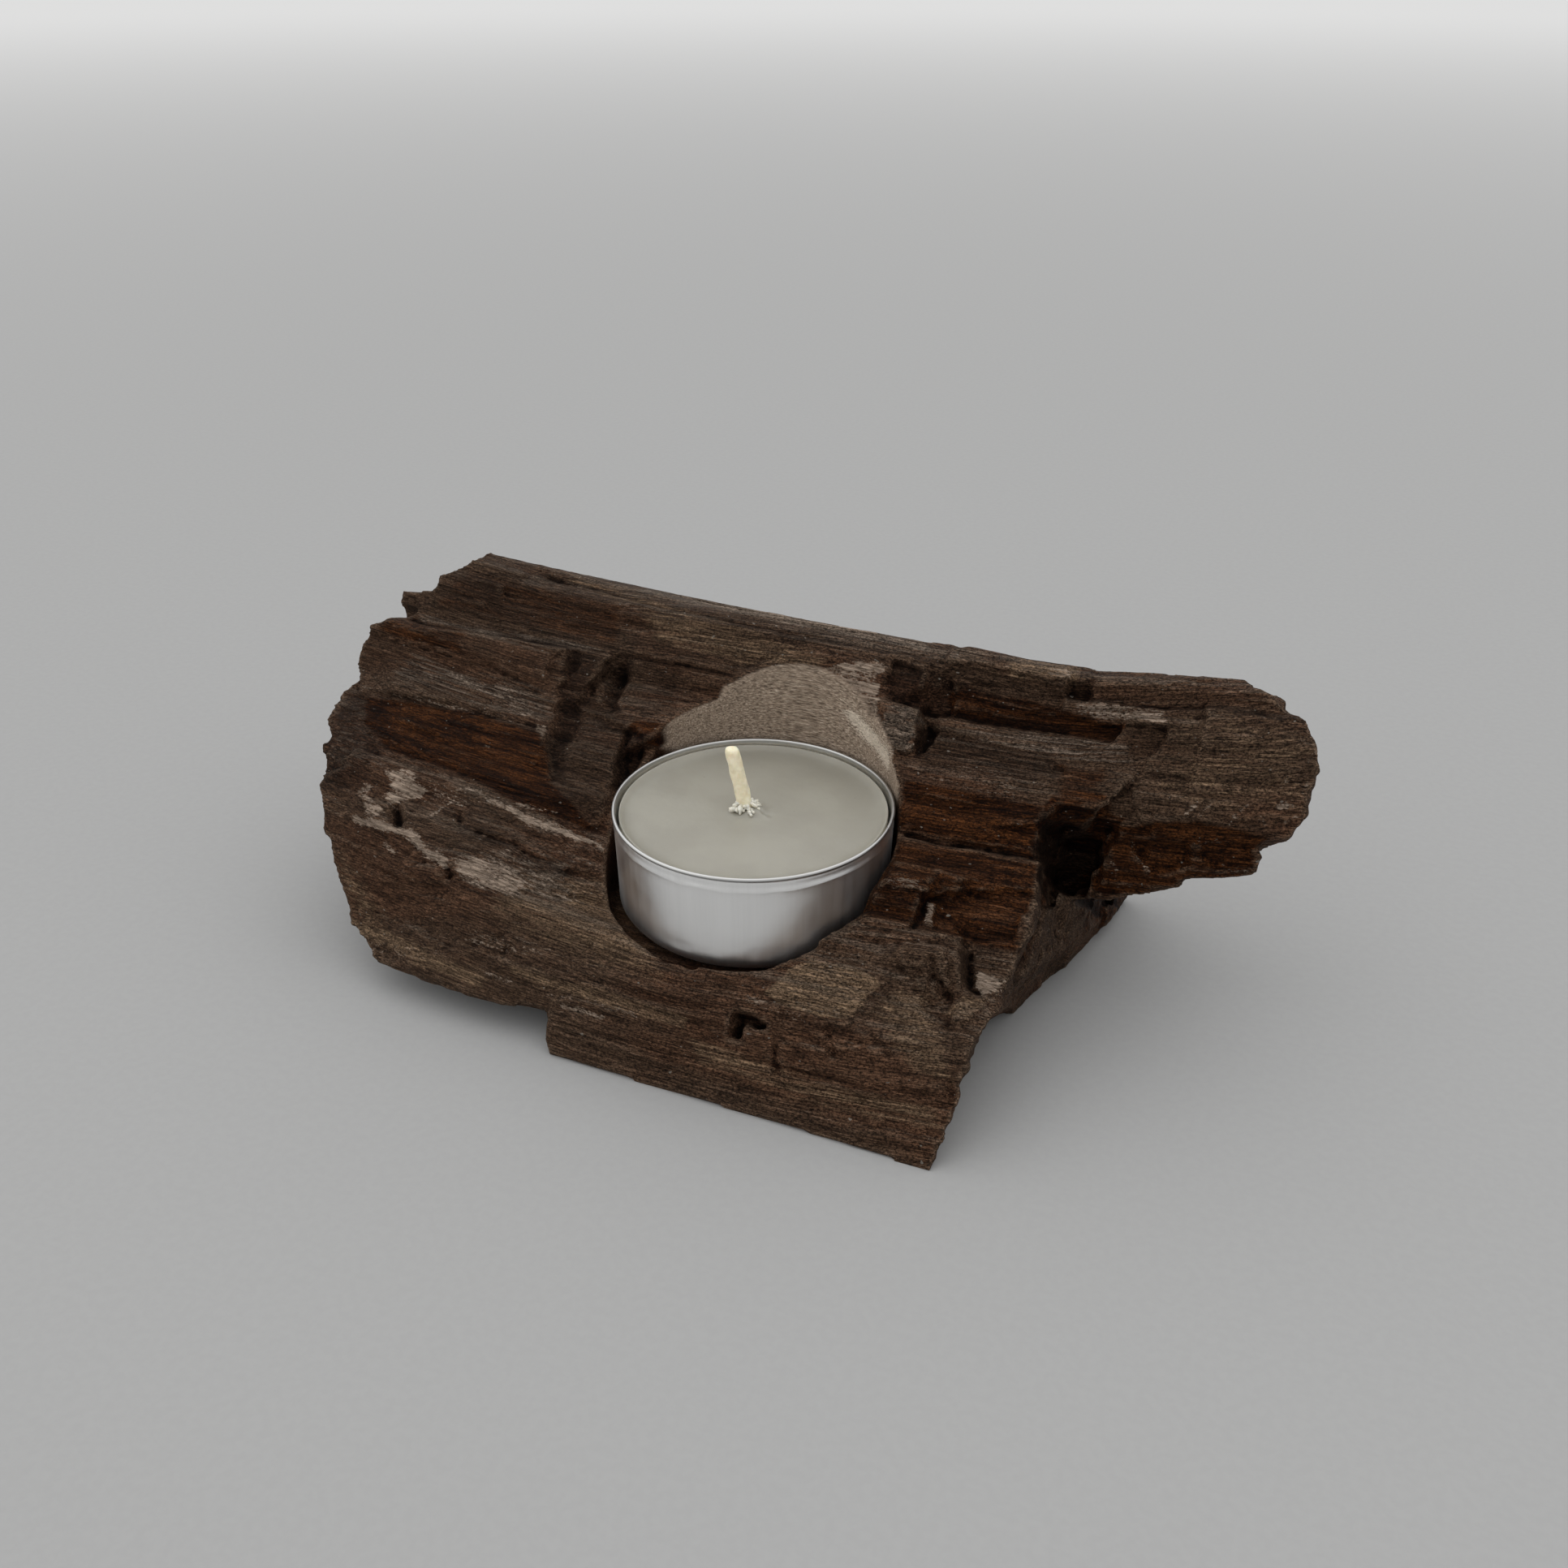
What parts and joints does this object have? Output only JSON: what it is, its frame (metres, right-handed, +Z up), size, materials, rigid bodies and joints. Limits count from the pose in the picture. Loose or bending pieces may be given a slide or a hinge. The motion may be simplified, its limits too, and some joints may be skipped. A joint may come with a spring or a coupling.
{
  "type": "tealight holder",
  "caption": "Split chunk of dark weathered wood with a round recess bored in its stepped slope, holding an aluminium-cup tealight.",
  "frame": {"origin": "on the resting face, straight below the axis of the recess", "axes": "+X along the grain towards the overhanging end, +Y from the low front to the high back, +Z up"},
  "size_m": [0.141, 0.0672, 0.046],
  "materials": {
    "wood": "weathered, split along the grain, unfinished",
    "cup_metal": "drawn foil, satin",
    "wax": "white paraffin wax, slightly translucent",
    "wick_cotton": "cotton wick coated with wax",
    "tab_metal": "tin-plated"
  },
  "bodies": {
    "holder": {"wood_body": "wood"},
    "cup": {"cup": "cup_metal"},
    "candle": {"wax": "wax", "wick": "wick_cotton", "wick_tab": "tab_metal"}
  },
  "joints": [
    {"name": "tealight_lift", "type": "slide", "parent": "holder", "child": "cup", "axis": [0, 0, 1], "range_m": [0, 0.036]},
    {"name": "candle_lift", "type": "slide", "parent": "cup", "child": "candle", "axis": [0, 0, 1], "range_m": [0, 0.018]}
  ]
}
